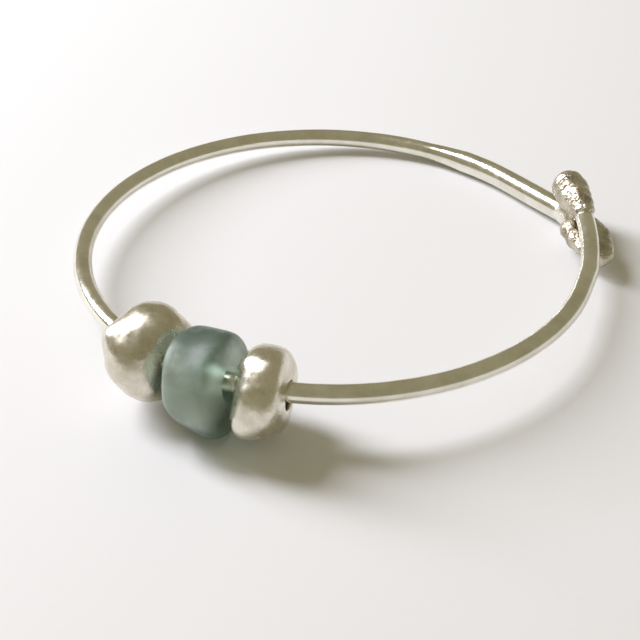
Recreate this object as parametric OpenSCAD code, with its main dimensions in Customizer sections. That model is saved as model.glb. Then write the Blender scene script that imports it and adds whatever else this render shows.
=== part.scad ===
// Open wire bangle with a loose trio of beads: the two wire ends cross at a clasp,
// where a melted nugget on the upper end hooks behind a saddle-shaped nugget on the lower end.
// The bangle is drawn flat round the hoop's centre first (clasp on +X, wire axis at z = 0),
// and is then leant over so that it lies on the surface z = 0 as it would by its own weight.

/* [Hoop] */
// Inside diameter of the closed hoop, which is the bangle's size
inner_d = 60; // [54:0.5:70]
// Diameter of the round wire
wire_d = 2.35; // [2:0.05:2.7]
// Direction, counted from the clasp, where the springy wire is split into its two arms
split_at = 163; // [155:1:175]
// Sideways set of the back arm, which carries its end below the front arm's end
back_set = 2.1; // [1.9:0.05:2.4]
// Gap between the two arms' faces at the split
split_gap = 0.06; // [0.04:0.01:0.12]

/* [Back arm's thick end] */
// Diameter of the thicker end
shank_d = 3; // [2.6:0.05:3.1]
// Direction where the wire starts to thicken
swell_from = 57; // [52:1:62]
// Direction where it is full thickness
swell_to = 47; // [42:1:49]
// Direction where the thick end leaves the circle and runs straight
straight_from = 33; // [30:1:36]
// Length of the straight run
straight_len = 10.2; // [9:0.1:11]

/* [Front arm's neck] */
// Direction where the neck leaves the circle
neck_from = -22; // [-26:1:-18]
// Radius that the neck bends to, wider than the hoop's
neck_bend_r = 42; // [38:1:48]
// How far past the keeper's seat the neck runs, along its bend
hook_reach = 6.26; // [6:0.02:8]

/* [Clasp nuggets] */
// Thickness of the hook nugget on the front arm
hook_d = 4.6; // [3.6:0.1:4.8]
// Length of the hook nugget along the wire
hook_len = 7.2; // [5.6:0.1:7.6]
// Diameter of the keeper nugget's web under the neck
web_d = 3; // [2.4:0.1:3.4]
// Diameter of the largest lump on the keeper's outer side
outer_lump_d = 3.7; // [3:0.1:4]
// Diameter of the largest lump on the keeper's inner side
inner_lump_d = 2.8; // [2:0.1:3]
// Gap between the neck and the keeper's seat
seat_gap = 0.12; // [0.08:0.01:0.3]
// Gap between the hook nugget and the thick end that it passes over
clasp_gap = 0.21; // [0.1:0.01:0.3]

/* [Silver beads] */
// Diameter of the left silver bead
left_d = 11.4; // [9:0.1:12]
// Width of the left silver bead along the wire
left_w = 7.4; // [5:0.1:7.8]
// Height of the left bead's centre above the wire's axis
left_lift = -0.1; // [-0.3:0.05:0.1]
// Diameter of the right silver bead
right_d = 11; // [9:0.1:12]
// Width of the right silver bead along the wire
right_w = 5.8; // [4:0.1:6.4]
// Height of the right bead's centre above the wire's axis
right_lift = -0.35; // [-0.35:0.05:0.1]
// Radial clearance between a silver bead's bore and the wire
silver_play = 0.48; // [0.45:0.01:0.8]

/* [Glass bead] */
// Diameter of the glass bead
glass_d = 12.5; // [11:0.1:13.5]
// Width of the glass bead along the wire
glass_w = 6.3; // [4:0.1:6.6]
// Height of the glass bead's bore above the wire's axis
glass_lift = -0.4; // [-0.45:0.05:0]
// How far the bore sits off the middle of the hand-made glass
glass_off = 0.5; // [0:0.05:0.8]
// Angle at which the loose glass bead hangs across the wire
glass_yaw = 4; // [0:0.5:5]
// Radial clearance between the glass bead's bore and the wire
glass_play = 0.66; // [0.64:0.01:1.2]

/* [Places of the beads] */
// Direction of the left silver bead, counted from the clasp
left_at = 221; // [215:0.1:222]
// Gap that shows between the left silver bead and the glass bead
left_gap = 0.1; // [0.08:0.01:1]
// Gap that shows between the glass bead and the right silver bead
right_gap = 0.25; // [0.1:0.01:2]

/* [Hidden] */

SILVER = [0.74, 0.72, 0.66];
NUGGET_SILVER = [0.60, 0.57, 0.48];
SEA_GLASS = [0.52, 0.64, 0.58];

$fn = 48;
ARC_FN = 144;          // segments of a full turn of the hoop
PROFILE_STEPS = 20;    // facets of a bead's outline, from one mouth to the other
PROUD = 0.05;          // the ball that joins two stretches of wire stands this much proud of them
BALL_TURN = 0.35;      // and both stretches stop short of its middle by this angle of the hoop
WEB_OUT = 0.4;         // the web sits this far outside the neck's middle
MOUTH = 0.45;          // a bead's mouth is this much wider than its bore, in radius
SILVER_FULLNESS = 2.3; // how boxy a bead's outline is: 2 is an ellipse
GLASS_FULLNESS = 3.4;
TIP = 0.86;            // the hook nugget's two ends against its middle, in diameter
HOOK_ON = 0.1;         // the nugget's middle sits this far past the neck's end

wire_r = wire_d / 2;
shank_r = shank_d / 2;
hoop_r = (inner_d + wire_d) / 2;
ball_run = hoop_r * BALL_TURN * PI / 180;
split_half = asin(split_gap / 2 / hoop_r);

// Where things are on the flat hoop
function spoke(at) = [cos(at), sin(at), 0];
function along(at) = [-sin(at), cos(at), 0];
function flat_point(at) = hoop_r * spoke(at);

function toward(a, b, run) = a + (b - a) * run / norm(b - a);

// The back arm turns down about its own tangent at the split
function set_down(p) =
    let (inward = hoop_r - p * spoke(split_at))
    p + inward * (1 - cos(back_set)) * spoke(split_at) - [0, 0, inward * sin(back_set)];

// The thick end's straight run
shank_start = set_down(flat_point(straight_from));
shank_end = set_down(flat_point(straight_from) - straight_len * along(straight_from));

// The neck is an arc of a wider circle. It crosses the +X direction at the seat, and its plane
// slopes up so that the hook nugget at its end clears the thick end
seat_turn = -neck_from + asin((hoop_r / neck_bend_r - 1) * sin(-neck_from));
neck_sweep = seat_turn + hook_reach / neck_bend_r * 180 / PI;
hook_height = shank_r + hook_d / 2 + clasp_gap + shank_end[2];
neck_rise = asin(hook_height / (neck_bend_r * sin(neck_sweep)));
neck_up = along(neck_from) * cos(neck_rise) + [0, 0, sin(neck_rise)];
function neck_point(turn) =
    spoke(neck_from) * (hoop_r - neck_bend_r + neck_bend_r * cos(turn))
    + neck_up * neck_bend_r * sin(turn);
function neck_dir(turn) = neck_up * cos(turn) - spoke(neck_from) * sin(turn);
seat = neck_point(seat_turn);
hook_end = neck_point(neck_sweep);
hook_dir = neck_dir(neck_sweep);

// The keeper's web carries the neck, and its lumps stand on both sides of it, clear of it
web_r = web_d / 2;
web = seat + [WEB_OUT, 0, -(wire_r + seat_gap + web_r)];
outer_r = outer_lump_d / 2;
inner_r = inner_lump_d / 2;
lump_drop = wire_r + seat_gap + web_r * 0.84;    // from the neck's axis to the lumps' middles
function beside_neck(r, back) =
    sqrt(max(0, pow(r + wire_r + 1.5 * seat_gap, 2) - pow(lump_drop, 2))) + back;
KEEPER_LUMPS = [           // middle, radius, direction of the side that stands free
    [[seat[0] + beside_neck(outer_r, 0), -0.6, seat[2] - lump_drop], outer_r, 0],
    [[seat[0] + beside_neck(outer_r, -0.2), -3.0, seat[2] - lump_drop - 0.3], outer_r * 0.9, -30],
    [[seat[0] + beside_neck(outer_r, -0.2), 2.4, seat[2] - lump_drop], outer_r * 0.84, 30],
    [[seat[0] - beside_neck(inner_r, 0), 0, seat[2] - lump_drop], inner_r, 200],
    [[seat[0] - beside_neck(inner_r, 0.05), 2.4, seat[2] - lump_drop + 0.1], inner_r, 150],
    [web, web_r, -125],
];

// The thick end's last reach, from its straight run to the web
web_heading = atan2(web[1] - shank_end[1], web[0] - shank_end[0]) + 90;

// The beads stand one after another; they come closest inside the hoop, this share of a bead out
TOUCH = 0.31;
function pitch(w_a, w_b, d, gap) = ((w_a + w_b) / 2 + gap) / (hoop_r - TOUCH * d) * 180 / PI;
glass_at = left_at + pitch(left_w, glass_w, left_d, left_gap);
right_at = glass_at + pitch(glass_w, right_w, right_d, right_gap);

silver_bore_r = wire_r + silver_play;
glass_bore_r = wire_r + glass_play;

// The bangle lies on the glass bead and on the underside of the back arm's thick end,
// where the table touches the wire along its run
back_touch = swell_to;
back_axis = set_down(flat_point(back_touch));
back_run = set_down(flat_point(back_touch) + along(back_touch)) - back_axis;
back_foot = back_axis - [0, 0, shank_r + PROUD];
glass_foot = flat_point(glass_at) + [0, 0, glass_lift - glass_off - glass_d / 2];
table_cross = cross(back_foot - glass_foot, back_run);
table_normal = table_cross / norm(table_cross);
table_depth = -(table_normal * glass_foot);

// Leans the flat bangle over onto its contacts, with the hoop's centre above the origin
module lying()
    translate([0, 0, table_depth])
        rotate(acos(table_normal[2]), cross(table_normal, [0, 0, 1]))
            children();

// Carries what is drawn flat down with the back arm's set
module setting_down()
    translate(flat_point(split_at))
        rotate(-back_set, along(split_at))
            translate(-flat_point(split_at))
                children();

// A stretch of round wire on the hoop's own circle
module wire_arc(from, to, tube_r)
    rotate([0, 0, from])
        rotate_extrude(angle = to - from, $fn = ARC_FN)
            translate([hoop_r, 0])
                circle(tube_r);

// A straight round bar between two points, which may taper
module bar(a, b, r_a, r_b) {
    run = b - a;
    translate(a)
        rotate([0, acos(run[2] / norm(run)), atan2(run[1], run[0])])
            cylinder(r1 = r_a, r2 = r_b, h = norm(run));
}

// The neck's bend, drawn from its own centre, a little short of the ball where it starts
module neck(tube_r)
    rotate([0, 0, neck_from])
        rotate([neck_rise, 0, 0])
            translate([hoop_r - neck_bend_r, 0, 0])
                rotate([0, 0, BALL_TURN])
                    rotate_extrude(angle = neck_sweep - BALL_TURN, $fn = ARC_FN)
                        translate([neck_bend_r, 0])
                            circle(tube_r);

// A ball turned so that the side which stands free faces the given direction
module ball(p, r, free_side)
    translate(p)
        rotate([0, 0, free_side])
            sphere(r);

// Half outline of a bead: full in the middle, rounded over towards both mouths
function bead_outline(d, w, bore_r, fullness) =
    let (mouth_r = bore_r + MOUTH)
    concat(
        [for (i = [0 : PROFILE_STEPS])
            let (x = -cos(180 * i / PROFILE_STEPS),
                 full = pow(max(0, 1 - pow(abs(x), fullness)), 1 / fullness),
                 r = mouth_r + (d / 2 - mouth_r) * full)
            [r, x * w / 2]],
        [[0, w / 2], [0, -w / 2]]
    );

// A bead threaded on the wire; its own axis follows the wire
module bead(at, lift, d, w, bore_r, fullness, off = 0, yaw = 0)
    rotate([0, 0, at])
        translate([hoop_r, 0, lift])
            rotate([0, 0, yaw])
                difference() {
                    translate([0, 0, -off])
                        rotate([-90, 0, 0])
                            rotate_extrude($fn = ARC_FN)
                                polygon(bead_outline(d, w, bore_r, fullness));
                    rotate([-90, 0, 0])
                        cylinder(r = bore_r, h = w + 2, center = true);
                }

module back_arm() color(SILVER) lying() {
    setting_down() {
        wire_arc(swell_from + BALL_TURN, split_at - split_half, wire_r);
        ball(flat_point(swell_from), wire_r + PROUD, swell_from);
        bar(flat_point(swell_from - BALL_TURN), flat_point(swell_to + BALL_TURN),
            wire_r, shank_r);
        ball(flat_point(swell_to), shank_r + PROUD, swell_to);
        wire_arc(straight_from + BALL_TURN, swell_to - BALL_TURN, shank_r);
    }
    ball(shank_start, shank_r + PROUD, straight_from);
    bar(toward(shank_start, shank_end, ball_run), toward(shank_end, shank_start, ball_run),
        shank_r, shank_r);
    ball(shank_end, shank_r + PROUD, (straight_from + web_heading) / 2);
    bar(toward(shank_end, web, ball_run), web, shank_r, web_r * 0.9);
}

module keeper_nugget() color(NUGGET_SILVER) lying()
    for (lump = KEEPER_LUMPS)
        ball(lump[0], lump[1], lump[2]);

module front_arm() color(SILVER) lying() {
    wire_arc(split_at + split_half, 360 + neck_from - BALL_TURN, wire_r);
    ball(flat_point(neck_from), wire_r + PROUD, neck_from);
    neck(wire_r);
}

module hook_nugget() color(NUGGET_SILVER) lying() {
    tip_r = hook_d * TIP / 2;
    reach = hook_len / 2 - tip_r;
    translate(hook_end + hook_dir * HOOK_ON)
        sphere(hook_d / 2);
    for (side = [-1, 1])
        translate(hook_end + hook_dir * (HOOK_ON + side * reach))
            sphere(tip_r);
}

module left_silver_bead() color(SILVER) lying()
    bead(left_at, left_lift, left_d, left_w, silver_bore_r, SILVER_FULLNESS);

module right_silver_bead() color(SILVER) lying()
    bead(right_at, right_lift, right_d, right_w, silver_bore_r, SILVER_FULLNESS);

module glass_bead() color(SEA_GLASS) lying()
    bead(glass_at, glass_lift, glass_d, glass_w, glass_bore_r, GLASS_FULLNESS, glass_off, glass_yaw);

back_arm();
keeper_nugget();
front_arm();
hook_nugget();
left_silver_bead();
glass_bead();
right_silver_bead();
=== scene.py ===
"""Open wire bangle with a hooked clasp and three loose beads, lying on a white table."""
import math

import bpy
from mathutils import Matrix, Vector


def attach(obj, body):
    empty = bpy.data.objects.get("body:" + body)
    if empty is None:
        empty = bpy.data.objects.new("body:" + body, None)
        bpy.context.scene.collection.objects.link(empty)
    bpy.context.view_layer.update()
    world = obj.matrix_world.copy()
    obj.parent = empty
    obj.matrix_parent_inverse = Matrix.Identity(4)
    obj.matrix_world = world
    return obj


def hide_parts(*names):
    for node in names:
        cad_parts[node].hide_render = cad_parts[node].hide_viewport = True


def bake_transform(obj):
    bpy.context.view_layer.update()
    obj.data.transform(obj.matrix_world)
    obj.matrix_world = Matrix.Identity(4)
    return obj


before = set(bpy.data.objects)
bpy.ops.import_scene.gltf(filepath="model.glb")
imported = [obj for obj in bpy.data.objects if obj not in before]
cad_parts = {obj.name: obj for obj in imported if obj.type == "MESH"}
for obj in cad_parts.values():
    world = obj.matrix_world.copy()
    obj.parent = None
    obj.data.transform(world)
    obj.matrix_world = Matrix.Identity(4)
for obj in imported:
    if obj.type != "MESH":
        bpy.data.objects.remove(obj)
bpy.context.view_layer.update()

MM = 0.001
UP = Vector((0, 0, 1))
MIDDLE = Vector((0, 0, 0))

# The hoop as it lies flat: middle at the origin, clasp on +X. Lengths are in metres, and places
# round the hoop in degrees from +X.
WIRE_R = 1.175 * MM
SHANK_R = 1.5 * MM              # the thick end
HOOP_R = 31.175 * MM
SPLIT_AT = 163                  # where the wire flexes
BACK_SET = 2.1                  # from the split on, the thick end's side is set down by this angle
SWELL_FROM, SWELL_TO = 57, 47   # between these the wire grows to the thick end
STRAIGHT_FROM, STRAIGHT_LEN = 33, 10.2 * MM
SHANK_TURN_R = 2.6 * MM         # the turn from the straight run to the reach to the keeper
NECK_FROM, NECK_BEND_R, NECK_SWEEP, NECK_RISE = -22, 42 * MM, 25, 5.97
NECK_RISE_R = 40 * MM           # the bend that starts the neck's rise

# The neck lies in the keeper, over its web
SEAT_GAP = 0.12 * MM
WEB_OUT = 0.4 * MM
WEB_SHARE = 0.8                 # the thick end's radius in the web, as a share

# Each bead's middle on the wire. The two wires meet inside the right bead.
LEFT_AT, GLASS_AT, RIGHT_AT = 221, 235.7, 248.4
SEAM_AT = RIGHT_AT

# How the flat hoop leans over onto the table
LEAN_AXIS = Vector((-0.96689732, 0.25516576, 0))
LEAN = math.radians(3.98492)
LIFT = 5.094495 * MM
LYING = Matrix.Translation((0, 0, LIFT)) @ Matrix.Rotation(LEAN, 4, LEAN_AXIS)


def spoke(at):
    return Vector((math.cos(math.radians(at)), math.sin(math.radians(at)), 0))


def along(at):
    return Vector((-math.sin(math.radians(at)), math.cos(math.radians(at)), 0))


SPLIT = HOOP_R * spoke(SPLIT_AT)
SET_DOWN = (Matrix.Translation(SPLIT)
            @ Matrix.Rotation(math.radians(-BACK_SET), 4, along(SPLIT_AT))
            @ Matrix.Translation(-SPLIT))


# ---------------------------------------------------------------- shaping

def deselect():
    if bpy.context.object and bpy.context.object.mode != "OBJECT":
        bpy.ops.object.mode_set(mode="OBJECT")
    bpy.ops.object.select_all(action="DESELECT")


def named(name):
    piece = bpy.context.object
    piece.name = name
    piece.data.name = name
    return piece


def edit():
    bpy.ops.object.mode_set(mode="EDIT")


def done():
    bpy.ops.object.mode_set(mode="OBJECT")


def pull(move):
    """Draws the ring that is selected along by a length."""
    bpy.ops.mesh.extrude_region_move(TRANSFORM_OT_translate={"value": move})


def swell(times, middle):
    bpy.ops.transform.resize(value=(times,) * 3, center_override=middle)


def bend(angle, middle, axis, steps):
    """Draws the ring that is selected round a middle, to the right about the axis."""
    bpy.ops.mesh.spin(steps=steps, angle=-math.radians(angle), center=middle, axis=axis)


def ring(radius, middle, facing, count):
    turn = facing.to_track_quat("Z", "Y").to_euler()
    bpy.ops.mesh.primitive_circle_add(
        vertices=count, radius=radius, location=middle, rotation=turn)


def close_ends():
    bpy.ops.mesh.select_all(action="DESELECT")
    bpy.ops.mesh.select_non_manifold()
    bpy.ops.mesh.fill_holes(sides=0)
    bpy.ops.mesh.select_all(action="SELECT")
    bpy.ops.mesh.normals_make_consistent(inside=False)


def place(piece, *matrices):
    """Fixes the piece's place in its mesh."""
    bpy.ops.object.transform_apply(location=True, rotation=True, scale=True)
    for matrix in matrices:
        piece.data.transform(matrix)
    piece.data.update()


def finish_with(piece, kind, **settings):
    bpy.context.view_layer.objects.active = piece
    modifier = piece.modifiers.new(kind.lower(), kind)
    for key, value in settings.items():
        setattr(modifier, key, value)
    bpy.ops.object.modifier_apply(modifier=modifier.name)


def subdivide(piece):
    finish_with(piece, "SUBSURF", levels=1, render_levels=1)


def relief(name, kind, size, **settings):
    texture = bpy.data.textures.new(name, kind)
    texture.noise_scale = size
    for key, value in settings.items():
        setattr(texture, key, value)
    return texture


def emboss(piece, texture, depth, level, group=""):
    """Raises and sinks the skin by a relief; level is the height that stays in place."""
    finish_with(piece, "DISPLACE", texture=texture, strength=depth, mid_level=level,
                vertex_group=group, texture_coords="LOCAL")


def nudge(piece, spot, move, reach):
    """Pushes the skin round a spot, as with a soft brush; spot, move and reach are in mm."""
    spot, move = Vector(spot) * MM, Vector(move) * MM
    deselect()
    bpy.context.view_layer.objects.active = piece
    piece.select_set(True)
    edit()
    bpy.ops.mesh.select_all(action="DESELECT")
    done()
    min(piece.data.vertices, key=lambda v: (v.co - spot).length).select = True
    edit()
    bpy.ops.transform.translate(
        value=move, use_proportional_edit=True,
        proportional_edit_falloff="SMOOTH", proportional_size=reach * MM)
    done()


def smooth(piece, angle):
    deselect()
    piece.select_set(True)
    bpy.context.view_layer.objects.active = piece
    bpy.ops.object.shade_smooth_by_angle(angle=math.radians(angle))


# ---------------------------------------------------------------- the wire

WIRE_SIDES = 32
STEP = 1.0                      # degrees between the rings of a long bend


def arc_steps(angle):
    return max(2, round(abs(angle) / STEP))


def neck_point(turn):
    """A point on the neck's middle line, this many degrees along its bend."""
    a, rise = math.radians(turn), math.radians(NECK_RISE)
    ahead = along(NECK_FROM) * math.cos(rise) + UP * math.sin(rise)
    out = HOOP_R - NECK_BEND_R + NECK_BEND_R * math.cos(a)
    return spoke(NECK_FROM) * out + ahead * NECK_BEND_R * math.sin(a)


def neck_seat():
    """Where the neck lies in the keeper, and the middle of the web under it."""
    off_middle = (HOOP_R / NECK_BEND_R - 1) * math.sin(math.radians(-NECK_FROM))
    seat = neck_point(-NECK_FROM + math.degrees(math.asin(off_middle)))
    return seat, seat + Vector((WEB_OUT, 0, -(WIRE_R + SEAT_GAP + SHANK_R)))


def draw_shank():
    """The thick end: a last reach to the keeper, a straight run, and the start of the hoop."""
    _, web = neck_seat()
    run_from = HOOP_R * spoke(STRAIGHT_FROM)
    run_to = SET_DOWN @ (run_from - STRAIGHT_LEN * along(STRAIGHT_FROM))
    run_from = SET_DOWN @ run_from
    first, second = (run_to - web).normalized(), (run_from - run_to).normalized()
    turn = first.angle(second)
    turn_axis = first.cross(second).normalized()
    tangent = SHANK_TURN_R * math.tan(turn / 2)
    turn_start = run_to - first * tangent
    ring(SHANK_R * WEB_SHARE, web, first, WIRE_SIDES)
    edit()
    bpy.ops.mesh.select_all(action="SELECT")
    reach = (run_to - web).length - tangent
    for _ in range(4):
        pull(first * reach / 4)
    swell(1 / WEB_SHARE, turn_start)
    bend(math.degrees(turn), turn_start + turn_axis.cross(first) * SHANK_TURN_R, turn_axis, 12)
    run = (run_from - run_to).length - tangent
    for _ in range(8):
        pull(second * run / 8)


def wire_finish(piece):
    waver = relief("wire waver", "CLOUDS", 5 * MM, noise_depth=1)
    nicks = relief("wire nicks", "VORONOI", 1.3 * MM, noise_intensity=1.2)
    emboss(piece, waver, 0.05 * MM, 0.6)
    emboss(piece, nicks, 0.012 * MM, 0.9)
    place(piece, LYING)
    smooth(piece, 50)


def make_hoop_wire():
    """From the keeper round the far side of the hoop to the right bead."""
    deselect()
    draw_shank()
    piece = named("hoop_wire")
    down = SET_DOWN.to_3x3() @ UP
    centre = SET_DOWN @ MIDDLE
    bend(SWELL_TO - STRAIGHT_FROM, centre, down, arc_steps(SWELL_TO - STRAIGHT_FROM))
    shrink = (WIRE_R / SHANK_R) ** (1 / (SWELL_FROM - SWELL_TO))
    for at in range(SWELL_TO, SWELL_FROM):
        bend(1, centre, down, 1)
        swell(shrink, SET_DOWN @ (HOOP_R * spoke(at + 1)))
    bend(SPLIT_AT - SWELL_FROM, centre, down, arc_steps(SPLIT_AT - SWELL_FROM))
    bend(SEAM_AT - SPLIT_AT, MIDDLE, UP, arc_steps(SEAM_AT - SPLIT_AT))
    close_ends()
    done()
    wire_finish(piece)
    return piece


def make_front_wire():
    """From the right bead to the neck, which rises over the keeper's web."""
    deselect()
    ring(WIRE_R, HOOP_R * spoke(SEAM_AT), along(SEAM_AT), WIRE_SIDES)
    piece = named("front_wire")
    edit()
    bpy.ops.mesh.select_all(action="SELECT")
    tangent = NECK_RISE_R * math.tan(math.radians(NECK_RISE) / 2)
    short = math.degrees(tangent / HOOP_R)
    sweep = 360 + NECK_FROM - short - SEAM_AT
    bend(sweep, MIDDLE, UP, arc_steps(sweep))
    out = spoke(NECK_FROM - short)
    start = HOOP_R * out
    bend(NECK_RISE, start + UP * NECK_RISE_R, out, 6)
    neck_axis = Matrix.Rotation(math.radians(NECK_RISE), 3, spoke(NECK_FROM)) @ UP
    neck_middle = spoke(NECK_FROM) * (HOOP_R - NECK_BEND_R)
    sweep = NECK_SWEEP - math.degrees(tangent / NECK_BEND_R)
    bend(sweep, neck_middle, neck_axis, arc_steps(sweep))
    close_ends()
    done()
    wire_finish(piece)
    return piece


# ---------------------------------------------------------------- the beads

BEAD_SIDES, BEAD_STEPS = 72, 22
SILVER_BORE_R, GLASS_BORE_R = 1.655 * MM, 1.95 * MM
RIM = 0.45 * MM                 # flat round a bore, before the outside starts
LIP = 0.12 * MM                 # a bore's rounded edge
SKIN_FROM, SKIN_FADE = 0.5 * MM, 1.2 * MM   # from a bore out, where the hand-worked skin starts


def bead_outline(d, w, bore_r, fullness):
    """Half outline, from one mouth over the outside to the other, then back through the bore."""
    mouth = bore_r + RIM
    outside = []
    for i in range(BEAD_STEPS + 1):
        x = -math.cos(math.pi * i / BEAD_STEPS)
        full = max(0.0, 1 - abs(x) ** fullness) ** (1 / fullness)
        outside.append((mouth + (d / 2 - mouth) * full, x * w / 2))
    lip_edge = 0.02 * MM
    inside = [(bore_r + LIP, w / 2 - lip_edge), (bore_r, w / 2 - LIP)]
    inside += [(bore_r, w * (0.4 - 0.2 * i)) for i in range(5)]
    inside += [(bore_r, -w / 2 + LIP), (bore_r + LIP, -w / 2 + lip_edge)]
    return outside, inside


def make_bead(name, d, w, bore_r, fullness, off, skew=0.0):
    """Turned with the bore true to the wire; the outside is set down by off, skewed along it."""
    outside, inside = bead_outline(d, w, bore_r, fullness)
    mouth_r, mouth_x = outside[0]

    def middle_of(r, x):
        out = min(1.0, 0.3 + (r - mouth_r) / (d / 2 - mouth_r))
        return Vector((0, (off + skew * 2 * x / w) * out, 0))

    last_r, last_x, last_middle = mouth_r, mouth_x, middle_of(mouth_r, mouth_x)
    deselect()
    bpy.ops.mesh.primitive_circle_add(
        vertices=BEAD_SIDES, radius=last_r, location=last_middle + UP * last_x)
    piece = named(name)
    edit()
    bpy.ops.mesh.select_all(action="SELECT")
    rings = [(r, x, middle_of(r, x)) for r, x in outside[1:]] + [(r, x, MIDDLE) for r, x in inside]
    for r, x, middle in rings:
        pull(UP * (x - last_x) + middle - last_middle)
        bpy.ops.transform.resize(
            value=(r / last_r, r / last_r, 1), center_override=middle + UP * x)
        last_r, last_x, last_middle = r, x, middle
    bpy.ops.mesh.select_all(action="DESELECT")
    bpy.ops.mesh.select_non_manifold()
    bpy.ops.mesh.bridge_edge_loops()
    bpy.ops.mesh.select_all(action="SELECT")
    bpy.ops.mesh.normals_make_consistent(inside=False)
    done()
    skin = piece.vertex_groups.new(name="skin")
    skin_r = bore_r + SKIN_FROM
    for v in piece.data.vertices:
        share = min(1.0, max(0.0, (math.hypot(v.co.x, v.co.y) - skin_r) / SKIN_FADE))
        skin.add([v.index], share, "REPLACE")
    return piece


def stand_bead(piece, at, lift, yaw=0, lean=0):
    """From the bead's own axis on Z to its place on the wire; a loose one leans to the left."""
    place(piece,
          Matrix.Rotation(math.radians(lean - 90), 4, "X"),
          Matrix.Rotation(math.radians(yaw), 4, "Z"),
          Matrix.Translation((HOOP_R, 0, lift)),
          Matrix.Rotation(math.radians(at), 4, "Z"),
          LYING)
    smooth(piece, 60)


def hammer(piece, size, depth):
    """Uneven hand-worked silver: broad swells and flats, then small dents."""
    subdivide(piece)
    broad = relief(piece.name + " broad", "CLOUDS", size, noise_depth=0)
    flats = relief(piece.name + " flats", "VORONOI", size * 0.9)
    dents = relief(piece.name + " dents", "CLOUDS", 1.1 * MM, noise_depth=1)
    emboss(piece, broad, depth, 0.6, "skin")
    emboss(piece, flats, depth * 0.3, 0.6, "skin")
    subdivide(piece)
    emboss(piece, dents, 0.05 * MM, 0.6, "skin")


# In a bead's own frame +X is away from the hoop's middle, -Y is up and -Z is towards the left bead

def make_left_bead():
    bead = make_bead("left_nugget_bead", 11.25 * MM, 7.4 * MM, SILVER_BORE_R, 2.5, off=-0.05 * MM)
    nudge(bead, (3.5, -3.5, -2.6), (0.35, -0.3, -0.35), 3.2)
    nudge(bead, (3.8, 3.6, 1.0), (-0.4, -0.4, 0), 3.0)
    nudge(bead, (-2.2, 4.4, 2.6), (0.3, -0.4, -0.8), 4.4)
    nudge(bead, (-3.4, 0, 2.9), (0, 0, -0.75), 4.2)
    hammer(bead, 4.2 * MM, 0.7 * MM)
    stand_bead(bead, LEFT_AT, -0.1 * MM)
    return bead


def make_right_bead():
    bead = make_bead("right_nugget_bead", 10.85 * MM, 5.8 * MM, SILVER_BORE_R, 2.5,
                     off=0.1 * MM, skew=-0.3 * MM)
    nudge(bead, (4.4, 2.6, -1.6), (0.45, 0.3, -0.15), 4.2)
    nudge(bead, (3.8, -3.6, 0), (-0.3, 0.3, 0), 3.0)
    hammer(bead, 3.6 * MM, 0.5 * MM)
    stand_bead(bead, RIGHT_AT, -0.35 * MM)
    return bead


def make_glass_bead():
    bead = make_bead("sea_glass_bead", 12.2 * MM, 6.0 * MM, GLASS_BORE_R, 5.0,
                     off=0.5 * MM, skew=0.1 * MM)
    nudge(bead, (2.0, -5.4, -2.7), (0.1, -0.1, -0.45), 4.8)
    nudge(bead, (4.5, 4.0, -2.6), (-0.55, -0.55, 0.4), 5.4)
    nudge(bead, (2.6, -5.0, 2.7), (-0.15, 0.4, -0.3), 4.6)
    subdivide(bead)
    emboss(bead, relief("glass melt", "CLOUDS", 5 * MM, noise_depth=0), 0.2 * MM, 0.65, "skin")
    stand_bead(bead, GLASS_AT, -0.4 * MM, yaw=4, lean=5)
    return bead


# ---------------------------------------------------------------- the nuggets

def blobs(name, lumps):
    """Melted silver: balls run together into one skin."""
    deselect()
    parts = []
    for middle, radii, turn in lumps:
        bpy.ops.mesh.primitive_ico_sphere_add(
            subdivisions=4, radius=1, location=middle, rotation=turn, scale=radii)
        parts.append(bpy.context.object)
    for part in parts:
        part.select_set(True)
    bpy.context.view_layer.objects.active = parts[0]
    bpy.ops.object.join()
    piece = named(name)
    bpy.ops.object.transform_apply(location=True, rotation=True, scale=True)
    finish_with(piece, "REMESH", mode="VOXEL", voxel_size=0.1 * MM)
    finish_with(piece, "SMOOTH", factor=0.8, iterations=24)
    return piece


def crust(piece):
    """Folds and pits left by the torch."""
    folds = relief(piece.name + " folds", "CLOUDS", 1.6 * MM, noise_depth=0)
    pits = relief(piece.name + " pits", "CLOUDS", 0.5 * MM, noise_depth=2, noise_type="HARD_NOISE")
    emboss(piece, folds, 0.3 * MM, 0.4)
    emboss(piece, pits, -0.2 * MM, 0.25)
    place(piece, LYING)
    smooth(piece, 80)


def make_hook_nugget():
    end = neck_point(NECK_SWEEP)
    way = (end - neck_point(NECK_SWEEP - 0.5)).normalized()
    turn = way.to_track_quat("Z", "X").to_euler()
    side = way.cross(UP).normalized()

    def lump(ahead, aside, up, rx, ry, rz):
        middle = end + way * ahead * MM + side * aside * MM + UP * up * MM
        return middle, (rx * MM, ry * MM, rz * MM), turn

    piece = blobs("hook_melt", [
        lump(0.3, 0, 0, 2.3, 2.2, 2.6),
        lump(1.7, -0.1, 0, 2.1, 2.05, 1.9),
        lump(-1.4, 0.05, 0, 2.15, 1.95, 2.0),
        lump(-3.1, 0, 0.25, 1.85, 1.65, 1.7),
        lump(-4.5, 0, 0.3, 1.4, 1.3, 1.4),
    ])
    crust(piece)
    return piece


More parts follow.
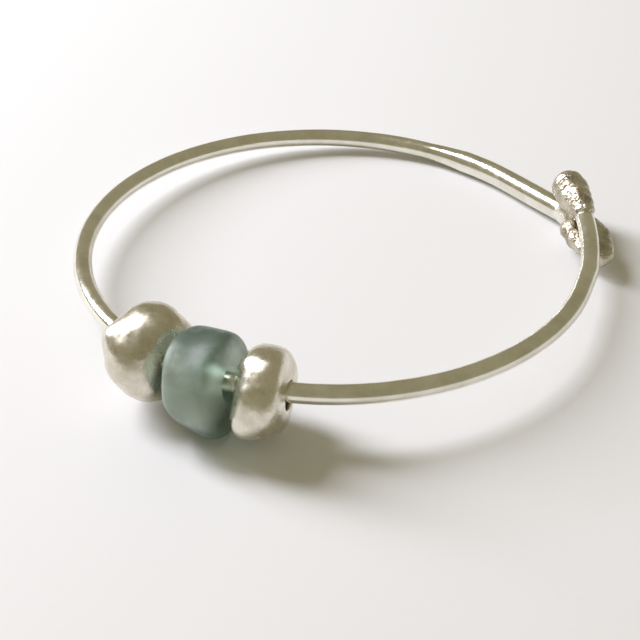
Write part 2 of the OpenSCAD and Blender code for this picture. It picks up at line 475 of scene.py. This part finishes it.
def make_keeper_nugget():
    """The web under the neck, a row of lumps outside it and a lower row inside."""
    seat, web = neck_seat()

    def lump(x, y, z, rx, ry, rz):
        return seat + Vector((x, y, z)) * MM, (rx * MM, ry * MM, rz * MM), (0, 0, 0)

    piece = blobs("keeper_melt", [
        (web, (SHANK_R,) * 3, (0, 0, 0)),
        lump(1.9, -0.7, -2.5, 1.75, 2.0, 1.85),
        lump(1.85, -2.0, -2.65, 1.7, 1.9, 1.75),
        lump(1.65, -3.4, -2.8, 1.5, 1.7, 1.6),
        lump(1.45, 1.9, -2.4, 1.6, 1.9, 1.6),
        lump(1.7, 0.6, -2.45, 1.7, 1.9, 1.75),
        lump(1.0, 3.8, -2.2, 1.15, 1.7, 1.2),
        lump(-0.95, 0.0, -2.5, 1.2, 1.5, 1.3),
        lump(-0.95, 2.3, -2.4, 1.3, 1.5, 1.35),
        lump(-0.5, -1.5, -2.7, 0.9, 1.3, 1.0),
    ])
    crust(piece)
    return piece


# ---------------------------------------------------------------- finishes

def blank(name):
    material = bpy.data.materials.new(name)
    material.use_nodes = True
    tree = material.node_tree
    return material, tree, tree.nodes["Principled BSDF"]


def add(tree, kind, **values):
    """A new node; values whose names start with in_ are for its inputs."""
    node = tree.nodes.new("ShaderNode" + kind)
    for key, value in values.items():
        if key.startswith("in_"):
            node.inputs[key[3:].replace("_", " ")].default_value = value
        else:
            setattr(node, key, value)
    return node


def object_place(tree):
    return add(tree, "TexCoord").outputs["Object"]


def noise(tree, at, scale, detail, roughness):
    node = add(tree, "TexNoise", in_Scale=scale, in_Detail=detail, in_Roughness=roughness)
    tree.links.new(at, node.inputs["Vector"])
    return node.outputs["Fac"]


def ramp(tree, value, stops):
    node = add(tree, "ValToRGB")
    elements = node.color_ramp.elements
    for element, (position, colour) in zip(elements, (stops[0], stops[-1])):
        element.position, element.color = position, (*colour, 1)
    for position, colour in stops[1:-1]:
        elements.new(position).color = (*colour, 1)
    tree.links.new(value, node.inputs["Fac"])
    return node.outputs["Color"]


def spread(tree, value, low, high, from_low=0.3, from_high=0.7):
    """Spreads a value over a new range; most of a noise lies between 0.3 and 0.7."""
    node = add(tree, "MapRange", in_From_Min=from_low, in_From_Max=from_high,
               in_To_Min=low, in_To_Max=high)
    tree.links.new(value, node.inputs["Value"])
    return node.outputs["Result"]


def bump(tree, height, strength, distance):
    node = add(tree, "Bump", in_Strength=strength, in_Distance=distance)
    tree.links.new(height, node.inputs["Height"])
    return node.outputs["Normal"]


def silver(name, light, dark, rough, grain_size, grain_depth):
    material, tree, shader = blank(name)
    shader.inputs["Metallic"].default_value = 1.0
    at = object_place(tree)
    clouds = noise(tree, at, 260, 5, 0.6)
    colour = ramp(tree, clouds, [(0.35, dark), (0.6, light)])
    tree.links.new(colour, shader.inputs["Base Color"])
    blotches = noise(tree, at, 900, 3, 0.6)
    tree.links.new(spread(tree, blotches, *rough), shader.inputs["Roughness"])
    grain = noise(tree, at, grain_size, 4, 0.65)
    tree.links.new(bump(tree, grain, 1.0, grain_depth), shader.inputs["Normal"])
    return material


def sea_glass():
    """Frosted; its colour is painted light by height: a light painted glow in a band across its
    middle height, and painted shade in darker green above and below.
    """
    material, tree, shader = blank("frosted sea glass, painted glow and shade")
    shader.inputs["Roughness"].default_value = 0.42
    shader.inputs["IOR"].default_value = 1.5
    shader.inputs["Transmission Weight"].default_value = 0.7
    at = object_place(tree)
    apart = add(tree, "SeparateXYZ")
    tree.links.new(at, apart.inputs["Vector"])
    top = 12.5 * MM
    # painted light: the colour follows height on the bead, not the glass itself
    height = spread(tree, apart.outputs["Z"], 0, 1, 0, top)
    clouds = noise(tree, at, 330, 3, 0.5)
    level = add(tree, "Math", operation="ADD")
    tree.links.new(height, level.inputs[0])
    tree.links.new(spread(tree, clouds, -0.08, 0.08), level.inputs[1])
    # painted shade in dark green at the bottom, low and high on the bead; a painted glow across
    # its middle
    painted_shade_bottom, painted_shade_green, painted_glow = (0.19, 0.28, 0.23), (0.18, 0.26, 0.21), (0.74, 0.88, 0.77)
    colour = ramp(tree, level.outputs["Value"],
                  [(0.05, painted_shade_bottom), (0.3, painted_shade_green), (0.52, painted_glow), (0.74, painted_glow), (0.95, painted_shade_green)])
    tree.links.new(colour, shader.inputs["Base Color"])
    frost = noise(tree, at, 5200, 2, 0.5)
    tree.links.new(bump(tree, frost, 0.4, 0.03 * MM), shader.inputs["Normal"])
    return material


# ---------------------------------------------------------------- table, light and camera

TABLE_SIZE, TABLE_AT = 1.6, (0, 0.2, 0)
PAPER = (0.83, 0.83, 0.84, 1)

ROOM, ROOM_STRENGTH = (0.40, 0.365, 0.235, 1), 0.75
WINDOW_W, WINDOW_H, WINDOW_WATTS = 0.2, 0.56, 5.6
WINDOW_COLOUR = (1.0, 1.0, 1.09)
WINDOW_ROUND, WINDOW_UP, WINDOW_AWAY = 145, 40, 0.65

# The camera looks at the flat hoop, which is turned a little, in a frame of its own scale
VIEW_TURN, VIEW_SCALE = -7, 1.00565 * MM
EYE, AIM = Vector((-1.804, -165.99, 99.91)), Vector((-1.804, -16.578, 0))
LENS, SENSOR = 87.8, 36


def build_stage():
    deselect()
    bpy.ops.mesh.primitive_plane_add(size=TABLE_SIZE, location=TABLE_AT)
    table = named("white_table")
    material, tree, shader = blank("white paper")
    shader.inputs["Base Color"].default_value = PAPER
    shader.inputs["Roughness"].default_value = 0.75
    fibres = noise(tree, object_place(tree), 700, 4, 0.6)
    tree.links.new(bump(tree, fibres, 0.15, 0.1 * MM), shader.inputs["Normal"])
    table.data.materials.append(material)


def build_light():
    world = bpy.data.worlds.new("room")
    bpy.context.scene.world = world
    bpy.context.scene.view_settings.view_transform = "Standard"
    world.use_nodes = True
    sky = world.node_tree.nodes["Background"]
    sky.inputs["Color"].default_value = ROOM
    sky.inputs["Strength"].default_value = ROOM_STRENGTH
    key = bpy.data.lights.new("window", "AREA")
    key.shape = "RECTANGLE"
    key.size, key.size_y = WINDOW_W, WINDOW_H
    key.energy = WINDOW_WATTS
    key.color = WINDOW_COLOUR
    window = bpy.data.objects.new("window", key)
    bpy.context.collection.objects.link(window)
    a, e, away = math.radians(WINDOW_ROUND), math.radians(WINDOW_UP), WINDOW_AWAY
    window.location = (away * math.cos(e) * math.cos(a),
                       away * math.cos(e) * math.sin(a),
                       away * math.sin(e))
    window.rotation_euler = (-window.location).to_track_quat("-Z", "Y").to_euler()


def build_camera():
    turn = Matrix.Rotation(math.radians(VIEW_TURN), 4, "Z")
    eye = LYING @ turn @ (EYE * VIEW_SCALE)
    aim = LYING @ turn @ (AIM * VIEW_SCALE)
    up = LYING.to_3x3() @ UP
    back = (eye - aim).normalized()
    right = up.cross(back).normalized()
    top = back.cross(right)
    lens = bpy.data.cameras.new("camera")
    lens.sensor_width = SENSOR
    lens.lens = LENS
    lens.clip_start = 0.01
    camera = bpy.data.objects.new("camera", lens)
    bpy.context.collection.objects.link(camera)
    facing = Matrix((right, top, back)).transposed()
    camera.matrix_world = Matrix.Translation(eye) @ facing.to_4x4()
    bpy.context.scene.camera = camera


# ---------------------------------------------------------------- put together

hoop_wire = make_hoop_wire()
front_wire = make_front_wire()
left_bead = make_left_bead()
right_bead = make_right_bead()
glass_bead = make_glass_bead()
hook = make_hook_nugget()
keeper = make_keeper_nugget()

wire_silver = silver("drawn silver", light=(0.88, 0.86, 0.78), dark=(0.76, 0.73, 0.63),
                     rough=(0.14, 0.26), grain_size=2600, grain_depth=0.006 * MM)
bead_silver = silver("hammered silver", light=(0.80, 0.76, 0.66), dark=(0.60, 0.55, 0.45),
                     rough=(0.22, 0.36), grain_size=3200, grain_depth=0.008 * MM)
melt_silver = silver("melted silver", light=(0.68, 0.63, 0.52), dark=(0.34, 0.30, 0.22),
                     rough=(0.26, 0.44), grain_size=3600, grain_depth=0.02 * MM)
for pieces, finish in (((hoop_wire, front_wire), wire_silver),
                       ((left_bead, right_bead), bead_silver),
                       ((hook, keeper), melt_silver),
                       ((glass_bead,), sea_glass())):
    for piece in pieces:
        piece.data.materials.append(finish)

build_stage()
build_light()
build_camera()

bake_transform(hoop_wire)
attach(front_wire, "front_arm")
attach(hook, "front_arm")
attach(keeper, "back_arm")
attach(left_bead, "left_silver_bead")
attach(glass_bead, "glass_bead")
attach(right_bead, "right_silver_bead")

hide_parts("back_arm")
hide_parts("front_arm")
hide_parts("hook_nugget")
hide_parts("keeper_nugget")
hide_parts("left_silver_bead")
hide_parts("glass_bead")
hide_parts("right_silver_bead")
